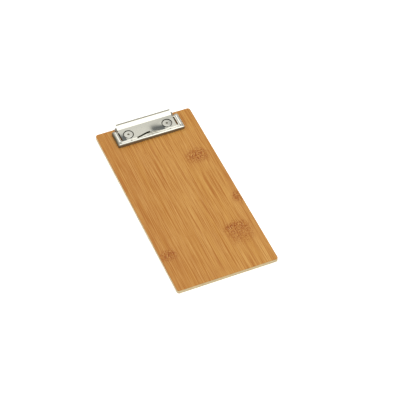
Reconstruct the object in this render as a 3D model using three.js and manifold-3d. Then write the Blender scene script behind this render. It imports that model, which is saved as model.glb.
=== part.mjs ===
// Slim clipboard: a bamboo-faced board with a sprung, low-profile nickel clip riveted across its top end.
// Millimetres. X runs across the board, +Y towards the clip, +Z up. Z = 0 is the underside of the board.

import * as THREE from 'three';
import { mergeVertices } from 'three/addons/utils/BufferGeometryUtils.js';
import Module from 'manifold-3d';

const wasm = await Module();
wasm.setup();

// ---- Board: two thin bamboo faces glued to a pale core ----
const boardWidth = 115;
const boardLength = 245;
const boardCorner = 3;
const veneerThickness = 0.6;
const coreThickness = 3.2;
const boardTop = coreThickness + 2 * veneerThickness;
const boardEnd = boardLength / 2;

// ---- Clip: every height from here down is above the board's top face ----
const sheet = 0.8;
const clipHalfWidth = 40;
const clipDepth = 23.2;
const clipFront = boardEnd - 29.6;
const clipRear = clipFront + clipDepth;
const clipCorner = 1.6;
const rimTop = 4.3;
const panelTop = 3.9;
const jawGap = 0.1;

// ---- Hinge line, behind the panel and under the thumb bar ----
const hingeY = boardEnd - 4.1;
const hingeZ = 2;
const pinRadius = 0.75;
const pinClearance = 0.12;
const pinHeadRadius = 1.25;
const pinHead = 0.5;

// ---- Pressed shape of the lever ----
const panelHalfWidth = 32.8;
const bandDepth = 4.5;
const archHalfLength = 16.5;
const archRise = 2.7;
const archSlotWidth = 2.3;
const archSlotLead = 1;
const slitWidth = 1.6;
const slitFront = clipFront + 6;
const slitRear = clipFront + 18.9;
const notchFront = hingeY - 5;
const notchHalfWidth = 35.8;
const accessHoleRadius = 6.1;
const bendY = boardEnd - 6;
const barRise = THREE.MathUtils.degToRad(36);
const barLength = 7.3;
const barCorner = 1.4;
const barLip = 2.4;
const lugRadius = 1.9;
const lugThickness = 0.8;

// ---- Base plate under the lever ----
const basePlateHalfWidth = 31.4;
const basePlateFront = clipFront + 4.5;
const basePlateRear = boardEnd - 1.2;
const earThickness = 0.9;
const earInner = panelHalfWidth + 0.7;
const earRadius = 3;
const earFootFront = hingeY - 10;
const earFootRear = hingeY - 3.5;
const coilWindowHalfWidth = 5.2;
const coilWindowDepth = 4.6;

// ---- Torsion spring round the middle of the pin ----
const wireRadius = 0.35;
const coilRadius = 1.6;
const coilBore = 0.9;
const coilHalfLength = 3.5;
const fixedLegLength = 3.1;
const movingLegLength = 4.3;

// ---- Rivets that hold the base plate to the board ----
const rivetX = 23.3;
const rivetY = boardEnd - 16.4;
const rivetHeadRadius = 5.3;
const rivetHeadHeight = 2.8;
const rivetHeadRound = 0.5;
const rivetDimpleRadius = 1.2;
const rivetDimpleDepth = 0.3;
const rivetShankRadius = 1.5;
const rivetHoleRadius = 1.65;
const rivetTailRadius = 2.6;
const rivetTail = 0.5;
const washerRadius = 5;
const washerThickness = 0.5;
const counterboreRadius = 5.3;
const counterboreDepth = 1.2;

const materials = {
  bamboo: new THREE.MeshStandardMaterial({ color: '#cc9a5c', roughness: 0.5, metalness: 0 }),
  core: new THREE.MeshStandardMaterial({ color: '#d7c9ac', roughness: 0.75, metalness: 0 }),
  nickel: new THREE.MeshStandardMaterial({ color: '#d9d6cc', roughness: 0.12, metalness: 1 }),
  steel: new THREE.MeshStandardMaterial({ color: '#b9b7b0', roughness: 0.3, metalness: 1 }),
};

// ---- Closed solids and how they join ----

function solid(geometry) {
  geometry.deleteAttribute('normal');
  geometry.deleteAttribute('uv');
  const merged = mergeVertices(geometry, 1e-5);
  return new wasm.Manifold(new wasm.Mesh({
    numProp: 3,
    vertProperties: new Float32Array(merged.attributes.position.array),
    triVerts: new Uint32Array(merged.index.array),
  }));
}

function toGeometry(manifold) {
  const mesh = manifold.getMesh();
  const geometry = new THREE.BufferGeometry();
  geometry.setAttribute('position', new THREE.BufferAttribute(mesh.vertProperties, 3));
  geometry.setIndex(new THREE.BufferAttribute(mesh.triVerts, 1));
  geometry.computeVertexNormals();
  return geometry;
}

// A flat outline in X and Y, raised from z = bottom to z = top.
function plate(outline, bottom, top, curveSegments = 12) {
  const geometry = new THREE.ExtrudeGeometry(outline, { depth: top - bottom, bevelEnabled: false, curveSegments });
  return solid(geometry.translate(0, 0, bottom));
}

// An outline in Y and Z, carried across from x = left to x = right.
function across(outline, left, right, curveSegments = 12) {
  const geometry = new THREE.ExtrudeGeometry(outline, { depth: right - left, bevelEnabled: false, curveSegments });
  const turn = new THREE.Matrix4().makeBasis(
    new THREE.Vector3(0, 1, 0), new THREE.Vector3(0, 0, 1), new THREE.Vector3(1, 0, 0));
  return solid(geometry.applyMatrix4(turn).translate(left, 0, 0));
}

// A round bar across X, centred on the hinge line.
function rodOnHinge(radius, left, right, segments = 24) {
  const geometry = new THREE.CylinderGeometry(radius, radius, right - left, segments);
  return solid(geometry.rotateZ(Math.PI / 2).translate((left + right) / 2, hingeY, hingeZ));
}

// A round bar upright, for holes through a plate.
function upright(radius, x, y, bottom, top, segments = 32) {
  const geometry = new THREE.CylinderGeometry(radius, radius, top - bottom, segments);
  return solid(geometry.rotateX(Math.PI / 2).translate(x, y, (bottom + top) / 2));
}

function roundedRectangle(left, front, right, rear, radius) {
  const shape = new THREE.Shape();
  shape.moveTo(left + radius, front);
  shape.absarc(right - radius, front + radius, radius, -Math.PI / 2, 0);
  shape.absarc(right - radius, rear - radius, radius, 0, Math.PI / 2);
  shape.absarc(left + radius, rear - radius, radius, Math.PI / 2, Math.PI);
  shape.absarc(left + radius, front + radius, radius, Math.PI, 1.5 * Math.PI);
  return shape;
}

function polygon(points) {
  return new THREE.Shape(points.map(([a, b]) => new THREE.Vector2(a, b)));
}

// A plain rectangle between two X values given in either order.
function box(sideA, front, sideB, rear) {
  const left = Math.min(sideA, sideB);
  const right = Math.max(sideA, sideB);
  return polygon([[left, front], [right, front], [right, rear], [left, rear]]);
}

const bothSides = (make) => [-1, 1].map(make);
const joined = (pieces) => pieces.reduce((whole, piece) => whole.add(piece));

// ---- Board ----

function ply(bottom, top, counterboreTop) {
  const half = boardWidth / 2;
  let blank = plate(roundedRectangle(-half, -boardEnd, half, boardEnd, boardCorner), bottom, top);
  for (const side of [-1, 1]) {
    blank = blank.subtract(upright(rivetHoleRadius, side * rivetX, rivetY, bottom - 1, top + 1));
    if (counterboreTop > bottom) {
      blank = blank.subtract(upright(counterboreRadius, side * rivetX, rivetY, bottom - 1, counterboreTop));
    }
  }
  return blank;
}

const backVeneer = ply(0, veneerThickness, 2 * veneerThickness);
const core = ply(veneerThickness, veneerThickness + coreThickness, counterboreDepth);
const faceVeneer = ply(veneerThickness + coreThickness, boardTop, 0);

// ---- Base plate, with an ear bent up at each rear corner to carry the pin ----

function ear(side) {
  const inner = side * earInner;
  const outer = side * (earInner + earThickness);
  const blade = new THREE.Shape();
  blade.moveTo(earFootFront, 0);
  blade.lineTo(hingeY + earRadius * 0.7, 0);
  blade.absarc(hingeY, hingeZ, earRadius, Math.asin(-hingeZ / earRadius), 0.8 * Math.PI);
  blade.lineTo(earFootFront, sheet);
  const foot = plate(box(side * (basePlateHalfWidth - 1), earFootFront, outer, earFootRear), 0, sheet);
  return across(blade, Math.min(inner, outer), Math.max(inner, outer)).add(foot);
}

function makeBasePlate() {
  const main = plate(
    roundedRectangle(-basePlateHalfWidth, basePlateFront, basePlateHalfWidth, basePlateRear, 1.5), 0, sheet);
  const window = plate(
    box(-coilWindowHalfWidth, hingeY - coilWindowDepth / 2, coilWindowHalfWidth, hingeY + coilWindowDepth / 2),
    -1, sheet + 1);
  let whole = joined([main, ...bothSides(ear)]).subtract(window);
  for (const side of [-1, 1]) {
    whole = whole.subtract(upright(rivetHoleRadius, side * rivetX, rivetY, -1, sheet + 1));
  }
  return whole.subtract(rodOnHinge(pinRadius + pinClearance / 2, -boardWidth, boardWidth));
}

// ---- Lever: one pressed sheet with a skirt, a front band, a lower panel and a bent-up thumb bar ----

// The front edge of the panel: straight, with a shallow arch in the middle that reaches back.
function archEdge(y, rise) {
  const points = [];
  const steps = 16;
  for (let i = 0; i <= steps; i += 1) {
    const x = archHalfLength * (1 - (2 * i) / steps);
    points.push([x, y + rise * 0.5 * (1 + Math.cos((Math.PI * x) / archHalfLength))]);
  }
  return points;
}

function makeSkirt() {
  const outer = roundedRectangle(-clipHalfWidth, clipFront, clipHalfWidth, clipRear, clipCorner);
  const inner = roundedRectangle(
    -clipHalfWidth + sheet, clipFront + sheet, clipHalfWidth - sheet, clipRear - sheet, clipCorner - sheet);
  const rearGap = box(-notchHalfWidth, clipRear - 2 * sheet, notchHalfWidth, clipRear + 1);
  return plate(outer, jawGap, rimTop)
    .subtract(plate(inner, -1, rimTop + 1))
    .subtract(plate(rearGap, -1, rimTop + 1));
}

function makeFrameTop() {
  const outer = roundedRectangle(-clipHalfWidth, clipFront, clipHalfWidth, clipRear, clipCorner);
  const edge = clipFront + bandDepth;
  const reach = panelHalfWidth + slitWidth;
  const window = polygon([[reach, edge], ...archEdge(edge, archRise), [-reach, edge],
    [-reach, clipRear + 1], [reach, clipRear + 1]]);
  return plate(outer, rimTop - sheet, rimTop).subtract(plate(window, 0, rimTop + 1));
}

function makePanel() {
  const reach = panelHalfWidth + 2 * slitWidth;
  let panel = plate(box(-reach, clipFront + sheet, reach, bendY), panelTop - sheet, panelTop);
  for (const side of [-1, 1]) {
    const slit = box(
      side * panelHalfWidth, slitFront, side * (panelHalfWidth + slitWidth), slitRear);
    panel = panel
      .subtract(plate(slit, 0, rimTop + 1))
      .subtract(upright(accessHoleRadius, side * rivetX, rivetY, 0, rimTop + 1, 48));
  }
  return panel;
}

function rearNotches() {
  return joined(bothSides((side) => plate(
    box(side * panelHalfWidth, notchFront, side * notchHalfWidth, clipRear + 1), 0, rimTop + 1)));
}

// A slot lanced along the left half of the arch.
function archSlot() {
  const near = archEdge(clipFront + bandDepth - archSlotLead, archRise).filter(([x]) => x <= 0);
  const far = near.map(([x, y]) => [x, y + archSlotWidth]).reverse();
  return plate(polygon([...near, ...far]), 0, rimTop + 1);
}

function makeThumbBar() {
  const along = new THREE.Vector2(Math.cos(barRise), Math.sin(barRise));
  const up = new THREE.Vector2(-along.y, along.x);
  const foot = new THREE.Vector2(bendY, panelTop);
  const at = (distance, height) => {
    const point = foot.clone().addScaledVector(along, distance).addScaledVector(up, height);
    return [point.x, point.y];
  };
  const [tipY, tipZ] = at(barLength, 0);
  const strip = polygon([
    [bendY - sheet, panelTop - sheet], at(-sheet * Math.tan(barRise / 2), -sheet),
    [tipY - sheet, tipZ - sheet * (Math.tan(barRise) + 1 / Math.cos(barRise))],
    [tipY - sheet, tipZ - barLip], [tipY, tipZ - barLip], [tipY, tipZ],
    at(0, 0), [bendY - sheet, panelTop]]);
  const corners = roundedRectangle(-panelHalfWidth, bendY - 4, panelHalfWidth, tipY, barCorner);
  return across(strip, -panelHalfWidth, panelHalfWidth).intersect(plate(corners, 0, 2 * tipZ, 6));
}

// A tab turned down on each side of the panel, with the pin through it.
function lug(side) {
  const outer = side * panelHalfWidth;
  const inner = side * (panelHalfWidth - lugThickness);
  const tab = new THREE.Shape();
  tab.moveTo(hingeY - 4, panelTop - sheet / 2);
  tab.absarc(hingeY, hingeZ, lugRadius, 1.2 * Math.PI, 2 * Math.PI);
  tab.lineTo(hingeY + lugRadius, hingeZ + 2.2);
  tab.lineTo(bendY + 1, panelTop + 0.2);
  return across(tab, Math.min(inner, outer), Math.max(inner, outer));
}

function makeLever() {
  return joined([makeSkirt(), makeFrameTop(), makePanel(), makeThumbBar(), ...bothSides(lug)])
    .subtract(rearNotches())
    .subtract(archSlot())
    .subtract(rodOnHinge(pinRadius + pinClearance / 2, -boardWidth, boardWidth));
}

// ---- Pin, spring, rivets and washers ----

function makePin() {
  const half = earInner + earThickness + 0.15 + pinHead;
  const heads = bothSides((side) => {
    const start = side * (half - pinHead);
    return rodOnHinge(pinHeadRadius, Math.min(start, side * half), Math.max(start, side * half));
  });
  return joined([rodOnHinge(pinRadius, -half, half), ...heads]);
}

// Both legs point to the rear: one lies over the base plate, the other pushes the thumb bar up.
function springLeg(left, angle, offset, length) {
  const leg = box(0, -wireRadius, length, wireRadius);
  const geometry = new THREE.ExtrudeGeometry(leg, { depth: 2 * wireRadius, bevelEnabled: false });
  const turn = new THREE.Matrix4().makeBasis(
    new THREE.Vector3(0, Math.cos(angle), Math.sin(angle)),
    new THREE.Vector3(0, -Math.sin(angle), Math.cos(angle)),
    new THREE.Vector3(1, 0, 0));
  geometry.translate(0, offset, 0).applyMatrix4(turn).translate(left, hingeY, hingeZ);
  return solid(geometry);
}

function makeSpring() {
  const coil = rodOnHinge(coilRadius, -coilHalfLength, coilHalfLength);
  const middle = coilRadius - wireRadius;
  const fixedLeg = springLeg(-coilHalfLength, THREE.MathUtils.degToRad(10), -middle, fixedLegLength);
  const movingLeg = springLeg(
    coilHalfLength - 2 * wireRadius, THREE.MathUtils.degToRad(38), middle, movingLegLength);
  return joined([coil, fixedLeg, movingLeg]).subtract(rodOnHinge(coilBore, -boardWidth, boardWidth));
}

function rivetGeometry() {
  const headBase = sheet;
  const headTop = headBase + rivetHeadHeight;
  const washerBottom = counterboreDepth - washerThickness - boardTop;
  const profile = [new THREE.Vector2(0, washerBottom - rivetTail),
    new THREE.Vector2(rivetTailRadius, washerBottom - rivetTail),
    new THREE.Vector2(rivetTailRadius, washerBottom),
    new THREE.Vector2(rivetShankRadius, washerBottom),
    new THREE.Vector2(rivetShankRadius, headBase),
    new THREE.Vector2(rivetHeadRadius, headBase)];
  const steps = 3;
  for (let i = 0; i <= steps; i += 1) {
    const angle = (Math.PI / 2) * (i / steps);
    profile.push(new THREE.Vector2(
      rivetHeadRadius - rivetHeadRound * (1 - Math.cos(angle)), headTop - rivetHeadRound * (1 - Math.sin(angle))));
  }
  profile.push(new THREE.Vector2(rivetDimpleRadius, headTop),
    new THREE.Vector2(rivetDimpleRadius / 2, headTop - rivetDimpleDepth),
    new THREE.Vector2(0, headTop - rivetDimpleDepth));
  return new THREE.LatheGeometry(profile, 32).rotateX(Math.PI / 2);
}

function washerGeometry() {
  const bottom = counterboreDepth - washerThickness;
  const profile = [[rivetHoleRadius, bottom], [washerRadius, bottom], [washerRadius, counterboreDepth],
    [rivetHoleRadius, counterboreDepth], [rivetHoleRadius, bottom]];
  return new THREE.LatheGeometry(profile.map(([r, z]) => new THREE.Vector2(r, z)), 32).rotateX(Math.PI / 2);
}

// ---- Assembly ----

function named(name, geometry, material) {
  const mesh = new THREE.Mesh(geometry, material);
  mesh.name = name;
  return mesh;
}

const board = new THREE.Group();
board.add(
  named('back_veneer', toGeometry(backVeneer), materials.bamboo),
  named('core', toGeometry(core), materials.core),
  named('face_veneer', toGeometry(faceVeneer), materials.bamboo));

const clip = new THREE.Group();
clip.position.z = boardTop;
clip.add(
  named('base_plate', toGeometry(makeBasePlate()), materials.nickel),
  named('clip_lever', toGeometry(makeLever()), materials.nickel),
  named('pivot_pin', toGeometry(makePin()), materials.steel),
  named('torsion_spring', toGeometry(makeSpring()), materials.steel));

for (const [side, word] of [[-1, 'left'], [1, 'right']]) {
  const rivet = named(`rivet_${word}`, rivetGeometry(), materials.nickel);
  rivet.position.set(side * rivetX, rivetY, 0);
  clip.add(rivet);
  const washer = named(`rivet_washer_${word}`, washerGeometry(), materials.steel);
  washer.position.set(side * rivetX, rivetY, 0);
  board.add(washer);
}

const clipboard = new THREE.Group();
clipboard.add(board, clip);

export default clipboard;
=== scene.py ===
"""Slim bamboo clipboard with a low-profile sprung clip.

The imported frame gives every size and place. This script dresses it: the bamboo board, the pressed
nickel lever with its rounded bends, the base plate, the pin, the wound spring and the flat-headed rivets.
"""

from __future__ import annotations

import logging
import math
from dataclasses import dataclass, field
from enum import Enum
from typing import Iterable, Sequence

import bmesh
import bpy
import numpy as np
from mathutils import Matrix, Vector
from mathutils.geometry import delaunay_2d_cdt


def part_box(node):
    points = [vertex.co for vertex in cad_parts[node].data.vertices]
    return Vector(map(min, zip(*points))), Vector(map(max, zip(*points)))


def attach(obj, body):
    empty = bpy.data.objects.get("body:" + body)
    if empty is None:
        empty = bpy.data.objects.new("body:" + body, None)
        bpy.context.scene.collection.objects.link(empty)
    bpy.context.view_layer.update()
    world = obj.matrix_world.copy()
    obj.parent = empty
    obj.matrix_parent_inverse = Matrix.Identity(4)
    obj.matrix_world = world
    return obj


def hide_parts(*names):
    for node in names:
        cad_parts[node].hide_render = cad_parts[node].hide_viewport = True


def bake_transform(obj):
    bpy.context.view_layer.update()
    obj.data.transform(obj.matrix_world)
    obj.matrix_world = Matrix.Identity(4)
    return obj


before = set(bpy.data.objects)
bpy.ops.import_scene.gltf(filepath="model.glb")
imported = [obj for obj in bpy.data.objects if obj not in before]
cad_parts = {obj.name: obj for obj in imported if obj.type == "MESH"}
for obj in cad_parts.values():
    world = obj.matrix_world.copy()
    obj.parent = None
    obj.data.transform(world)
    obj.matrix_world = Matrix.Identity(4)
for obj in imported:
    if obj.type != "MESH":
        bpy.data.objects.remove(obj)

LOG = logging.getLogger("clipboard")
MM = 0.001
Point2 = tuple[float, float]
Point3 = tuple[float, float, float]
Piece = bpy.types.Object
Material = bpy.types.Material
Tree = bpy.types.NodeTree
Socket = bpy.types.NodeSocket
Node = bpy.types.Node
CRISP = 35


class Ride(Enum):
    """The two bodies that a piece can ride on."""

    BOARD = "board"
    LEVER = "lever"


class Slot(Enum):
    """The record's material slots."""

    BAMBOO = "bamboo_veneer"
    CORE = "pale_core"
    NICKEL = "nickel_plate"
    RIVET = "nickel_rivet"
    ZINC = "zinc_steel"
    WIRE = "spring_wire"


# ---------------------------------------------------------------- small tools


def linear(colour: str) -> tuple[float, float, float, float]:
    """Turn an sRGB hex colour into a linear one.

    Args:
        colour: six hex digits after a hash sign.

    Returns:
        Red, green, blue and an alpha of 1.
    """
    channels = [int(colour[i : i + 2], 16) / 255 for i in (1, 3, 5)]
    curved = [c / 12.92 if c <= 0.04045 else ((c + 0.055) / 1.055) ** 2.4 for c in channels]
    return (curved[0], curved[1], curved[2], 1.0)


def smooth(low: float, high: float, value: np.ndarray | float) -> np.ndarray:
    """Ease from 0 at low to 1 at high.

    Args:
        low: where the ease starts.
        high: where the ease ends; it may be under low.
        value: the value or values to ease.

    Returns:
        The eased value or values.
    """
    t = np.clip((np.asarray(value, float) - low) / (high - low), 0.0, 1.0)
    return t * t * (3 - 2 * t)


def add_node(
    tree: Tree,
    kind: str,
    links: dict[str | int, Socket] | None = None,
    values: dict[str | int, object] | None = None,
    **settings: object,
) -> Node:
    """Add one node to a tree, with its settings, fixed values and links.

    Args:
        tree: the material, world or geometry tree.
        kind: the node's type name.
        links: input socket to the output socket that feeds it.
        values: input socket to its fixed value.
        **settings: attributes of the node itself.

    Returns:
        The new node.
    """
    node = tree.nodes.new(kind)
    for name, setting in settings.items():
        setattr(node, name, setting)
    for socket, value in (values or {}).items():
        node.inputs[socket].default_value = value
    for socket, source in (links or {}).items():
        tree.links.new(source, node.inputs[socket])
    return node


def mesh_object(
    name: str, verts: Sequence[Point3], faces: Sequence[Sequence[int]], crisp: float = CRISP
) -> Piece:
    """Make a mesh object from points in metres, with smooth shading that breaks at crisp edges.

    Args:
        name: the object's name.
        verts: its points.
        faces: its faces, as rows of point numbers.
        crisp: edges sharper than this many degrees stay crisp.

    Returns:
        The linked object, with its faces pointing out.
    """
    mesh = bpy.data.meshes.new(name)
    mesh.from_pydata([tuple(v) for v in verts], [], [tuple(f) for f in faces])
    work = bmesh.new()
    work.from_mesh(mesh)
    bmesh.ops.remove_doubles(work, verts=work.verts, dist=1e-7)
    bmesh.ops.recalc_face_normals(work, faces=work.faces)
    work.to_mesh(mesh)
    work.free()
    return link_mesh(name, mesh, crisp)


def link(name: str, data: bpy.types.ID) -> Piece:
    """Make an object for a mesh, curve, light or camera and put it in the scene.

    Args:
        name: the object's name.
        data: what it holds.

    Returns:
        The linked object.
    """
    piece = bpy.data.objects.new(name, data)
    bpy.context.scene.collection.objects.link(piece)
    return piece


def link_mesh(name: str, mesh: bpy.types.Mesh, crisp: float = CRISP) -> Piece:
    """Link a mesh as an object at the origin and set its shading.

    Args:
        name: the object's name.
        mesh: its mesh.
        crisp: edges sharper than this many degrees stay crisp.

    Returns:
        The linked object.
    """
    mesh.name = name
    for polygon in mesh.polygons:
        polygon.use_smooth = True
    mesh.set_sharp_from_angle(angle=math.radians(crisp))
    return link(name, mesh)


def paint(mesh: bpy.types.Mesh, name: str, values: Sequence[float] | np.ndarray) -> None:
    """Write one value for each point of a mesh.

    Args:
        mesh: the mesh.
        name: the attribute's name, which a finish reads.
        values: the values, in the order of the points.
    """
    mesh.attributes.new(name, "FLOAT", "POINT").data.foreach_set("value", values)


def bridge(first: int, second: int, count: int, closed: bool = True) -> list[list[int]]:
    """Join two rows of points with four-sided faces.

    Args:
        first: number of the first row's first point.
        second: number of the second row's first point.
        count: points in each row.
        closed: whether each row's last point joins its first.

    Returns:
        The faces.
    """
    steps = range(count if closed else count - 1)
    pairs = [(i, (i + 1) % count) for i in steps]
    return [[first + i, first + j, second + j, second + i] for i, j in pairs]


def settle(piece: Piece, crisp: float = CRISP) -> Piece:
    """Turn a piece and its modifiers into a plain mesh.

    Args:
        piece: the object, with its modifiers.
        crisp: edges sharper than this many degrees stay crisp.

    Returns:
        A new object with no modifiers, in place of the old one.
    """
    name = piece.name
    graph = bpy.context.evaluated_depsgraph_get()
    mesh = bpy.data.meshes.new_from_object(piece.evaluated_get(graph), depsgraph=graph)
    bpy.data.objects.remove(piece)
    return link_mesh(name, mesh, crisp)


def finish_piece(piece: Piece, body: Ride, slot: Slot, material: Material, *nodes: str) -> None:
    """Dress a piece, put it on its body and let it stand for its CAD nodes.

    Args:
        piece: the finished object.
        body: the body that it rides on.
        slot: the record's material slot; not used.
        material: its finish.
        *nodes: the CAD nodes that it replaces.
    """
    piece.data.materials.clear()
    piece.data.materials.append(material)
    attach(piece, body.value)
    if nodes:
        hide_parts(*nodes)
    LOG.info("%s: %d faces on %s", piece.name, len(piece.data.polygons), body.value)


def open_tree(name: str, **inputs: str) -> tuple[Tree, dict[str, str]]:
    """Start a geometry tree that takes a geometry, further inputs and a finish.

    Args:
        name: the tree's name.
        **inputs: each further input's name and socket type, with _ for a space.

    Returns:
        The tree, and the identifier of each input but the geometry, by its name.
    """
    tree = bpy.data.node_groups.new(name, "GeometryNodeTree")
    tree.interface.new_socket("Geometry", in_out="INPUT", socket_type="NodeSocketGeometry")
    keys: dict[str, str] = {}
    for label, kind in (*inputs.items(), ("Finish", "NodeSocketMaterial")):
        spaced = label.replace("_", " ")
        keys[spaced] = tree.interface.new_socket(spaced, in_out="INPUT", socket_type=kind).identifier
    tree.interface.new_socket("Geometry", in_out="OUTPUT", socket_type="NodeSocketGeometry")
    return tree, keys


def close_tree(tree: Tree, geometry: Socket, finish: Socket) -> None:
    """End a geometry tree: make its copies real, set their finish and pass them out.

    Args:
        tree: the geometry tree.
        geometry: the geometry to pass out.
        finish: the material to set.
    """
    real = add_node(tree, "GeometryNodeRealizeInstances", {"Geometry": geometry}).outputs["Geometry"]
    dressed = add_node(tree, "GeometryNodeSetMaterial", {"Geometry": real, "Material": finish})
    add_node(tree, "NodeGroupOutput", {"Geometry": dressed.outputs["Geometry"]})


def use_tree(piece: Piece, tree: Tree, values: dict[str, object]) -> Piece:
    """Run a geometry tree on a piece.

    Args:
        piece: the piece that it works on.
        tree: the geometry tree.
        values: each input's identifier and value.

    Returns:
        The result, as a plain mesh.
    """
    modifier = piece.modifiers.new(tree.name, "NODES")
    modifier.node_group = tree
    for key, value in values.items():
        modifier[key] = value
    return settle(piece)


# ---------------------------------------------------------------- flat outlines


def arc(centre: Point2, radius: float, start: float, end: float, steps: int) -> list[Point2]:
    """Points on a circle.

    Args:
        centre: the circle's centre.
        radius: its radius.
        start: first angle, in degrees.
        end: last angle, in degrees.
        steps: number of stretches between the points.

    Returns:
        steps + 1 points.
    """
    angles = [math.radians(start + (end - start) * i / steps) for i in range(steps + 1)]
    return [(centre[0] + radius * math.cos(a), centre[1] + radius * math.sin(a)) for a in angles]


def rounded_rectangle(low: Point2, high: Point2, radius: float, steps: int = 8) -> list[Point2]:
    """A rectangle with rounded corners, anticlockwise from its front left.

    Args:
        low: least x and y.
        high: greatest x and y.
        radius: corner radius.
        steps: stretches in each corner.

    Returns:
        The outline's points.
    """
    points: list[Point2] = []
    for x, y, start in (
        (low[0] + radius, low[1] + radius, 180),
        (high[0] - radius, low[1] + radius, 270),
        (high[0] - radius, high[1] - radius, 0),
        (low[0] + radius, high[1] - radius, 90),
    ):
        points += arc((x, y), radius, start, start + 90, steps)
    return points


def stepped(outline: Sequence[Point2], spacing: float, closed: bool = True) -> list[Point2]:
    """Split an outline's long stretches into equal short ones.

    Args:
        outline: the outline's points.
        spacing: longest stretch to leave.
        closed: whether the last point joins the first.

    Returns:
        The points with the new ones between them.
    """
    points: list[Point2] = []
    ends = list(outline[1:]) + ([outline[0]] if closed else [])
    for a, b in zip(outline, ends):
        pieces = max(1, math.ceil(math.dist(a, b) / spacing - 1e-6))
        for i in range(pieces):
            points.append((a[0] + (b[0] - a[0]) * i / pieces, a[1] + (b[1] - a[1]) * i / pieces))
    if not closed:
        points.append(outline[-1])
    return points


def inside(points: np.ndarray, outline: Sequence[Point2]) -> np.ndarray:
    """Tell which points lie inside an outline.

    Args:
        points: an array of x and y rows.
        outline: the closed outline.

    Returns:
        True for each point inside.
    """
    x, y = points[:, 0], points[:, 1]
    found = np.zeros(len(points), bool)
    for (ax, ay), (bx, by) in zip(outline, list(outline[1:]) + [outline[0]]):
        if ay != by:
            crosses = (ay > y) != (by > y)
            found ^= crosses & (x < ax + (y - ay) * (bx - ax) / (by - ay))
    return found


def clearance(points: np.ndarray, outline: Sequence[Point2], closed: bool = True) -> np.ndarray:
    """Distance of each point from an outline.

    Args:
        points: an array of x and y rows.
        outline: the outline.
        closed: whether the last point joins the first.

    Returns:
        The distances.
    """
    nearest = np.full(len(points), np.inf)
    for a, b in zip(outline, list(outline[1:]) + ([outline[0]] if closed else [])):
        start, along = np.array(a), np.subtract(b, a)
        share = np.clip(((points - start) @ along) / max(along @ along, 1e-18), 0, 1)
        gap = points - start - share[:, None] * along
        nearest = np.minimum(nearest, np.hypot(gap[:, 0], gap[:, 1]))
    return nearest


def fill(
    outline: Sequence[Point2],
    holes: Sequence[Sequence[Point2]],
    spacing: float,
    guides: Sequence[Sequence[Point2]] = (),
) -> tuple[list[Point2], list[list[int]]]:
    """Fill a flat outline with even triangles, leaving its holes open.

    Args:
        outline: the outer outline.
        holes: the outlines of the holes.
        spacing: size of the triangles inside.
        guides: open lines inside that the triangles' edges must follow.

    Returns:
        The points, with the outlines' own first and in order, and the triangles.
    """
    points: list[Vector] = []
    edges: list[tuple[int, int]] = []
    loops = [(outline, True)]
    loops += [(hole, True) for hole in holes]
    loops += [(line, False) for line in guides]
    for loop, closed in loops:
        first, count = len(points), len(loop)
        points += [Vector(p) for p in loop]
        edges += [(first + i, first + (i + 1) % count) for i in range(count if closed else count - 1)]
    xs, ys = [p[0] for p in outline], [p[1] for p in outline]
    columns = np.arange(min(xs), max(xs), spacing)
    rows = np.arange(min(ys), max(ys), spacing * 0.87)
    grid = np.array([(x + spacing / 2 * (j % 2), y) for j, y in enumerate(rows) for x in columns])
    keep = inside(grid, outline) & (clearance(grid, outline) > spacing * 0.5)
    for hole in holes:
        keep &= ~inside(grid, hole) & (clearance(grid, hole) > spacing * 0.5)
    for line in guides:
        keep &= clearance(grid, line, closed=False) > spacing * 0.4
    points += [Vector(p) for p in grid[keep]]
    flat, _, triangles, *_ = delaunay_2d_cdt(points, edges, [], 0, 1e-9)
    placed = [(p.x, p.y) for p in flat]
    centres = np.array([np.mean([placed[i] for i in t], axis=0) for t in triangles])
    solid = inside(centres, outline)
    for hole in holes:
        solid &= ~inside(centres, hole)
    return placed, [list(t) for t, kept in zip(triangles, solid) if kept]


def lathe(name: str, profile: Sequence[Point2], steps: int = 48) -> Piece:
    """Turn a profile of radius and height round the Z axis.

    Args:
        name: the object's name.
        profile: radius and height of each point, from one end of the axis to the other.
        steps: stretches round the turn.

    Returns:
        The closed solid.
    """
    verts: list[Point3] = []
    faces: list[list[int]] = []
    for radius, height in profile:
        for i in range(steps):
            angle = 2 * math.pi * i / steps
            verts.append((radius * math.cos(angle), radius * math.sin(angle), height))
    for row in range(len(profile) - 1):
        faces += bridge(row * steps, (row + 1) * steps, steps)
    return mesh_object(name, verts, faces)


def softened_copy(node: str, name: str, radius: float, steps: int = 2) -> Piece:
    """Copy a CAD node as clean flat faces with its edges softened.

    Args:
        node: the CAD node.
        name: the copy's name.
        radius: how far each crisp edge is rounded.
        steps: stretches across each rounded edge.

    Returns:
        The copy, as a plain mesh.
    """
    work = bmesh.new()
    work.from_mesh(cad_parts[node].data)
    bmesh.ops.remove_doubles(work, verts=work.verts, dist=2e-6)
    bmesh.ops.dissolve_limit(work, angle_limit=math.radians(1), verts=work.verts, edges=work.edges)
    mesh = bpy.data.meshes.new(name)
    work.to_mesh(mesh)
    work.free()
    piece = link_mesh(name, mesh)
    bevel = piece.modifiers.new("soft edges", "BEVEL")
    bevel.width, bevel.segments, bevel.limit_method = radius, steps, "ANGLE"
    bevel.angle_limit = math.radians(40)
    return settle(piece)


# ---------------------------------------------------------------- finishes


def new_material(name: str) -> tuple[Material, Tree, Node]:
    """Start a material; returns it, its tree and its shader."""
    material = bpy.data.materials.new(name)
    material.use_nodes = True
    return material, material.node_tree, material.node_tree.nodes["Principled BSDF"]


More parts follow.
